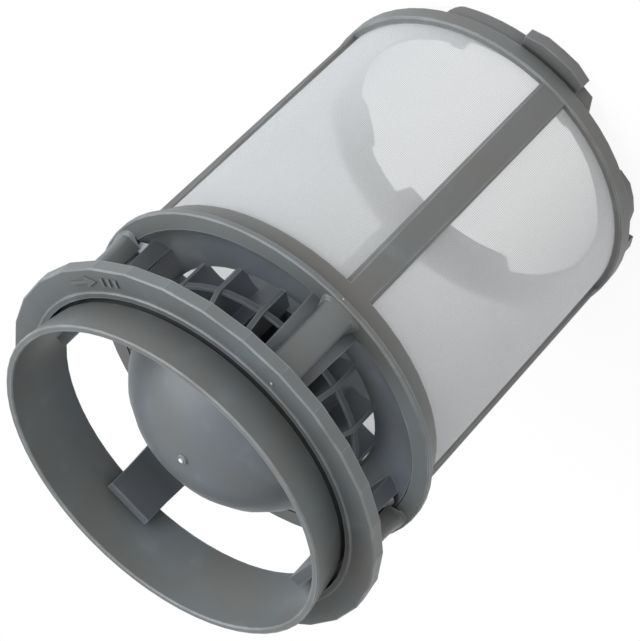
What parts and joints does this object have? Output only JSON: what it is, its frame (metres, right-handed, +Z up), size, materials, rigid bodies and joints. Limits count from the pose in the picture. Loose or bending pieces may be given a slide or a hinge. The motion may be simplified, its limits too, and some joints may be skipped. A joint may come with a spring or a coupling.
{
  "type": "dishwasher filter",
  "caption": "Cylindrical dishwasher sump filter: white mesh in a dark grey ribbed frame, with a domed coarse strainer under a round flanged grip.",
  "frame": {"origin": "on the filter's axis, in the plane its two feet stand on", "axes": "+Z up along the axis, from the feet to the grip's rim; -Y towards the front rib, where one foot and its bayonet tab begin; +X to the right seen from the front"},
  "size_m": [0.1074, 0.108, 0.1396],
  "materials": {
    "housing_plastic": "moulded polypropylene, soft sheen",
    "strainer_plastic": "moulded polypropylene, soft sheen",
    "frame_plastic": "moulded polypropylene, soft sheen",
    "white_nylon_mesh": "very fine white woven nylon, translucent"
  },
  "bodies": {
    "root": {"handle_housing": "housing_plastic", "coarse_strainer": "strainer_plastic", "filter_frame": "frame_plastic", "mesh_sleeve": "white_nylon_mesh"}
  },
  "joints": []
}
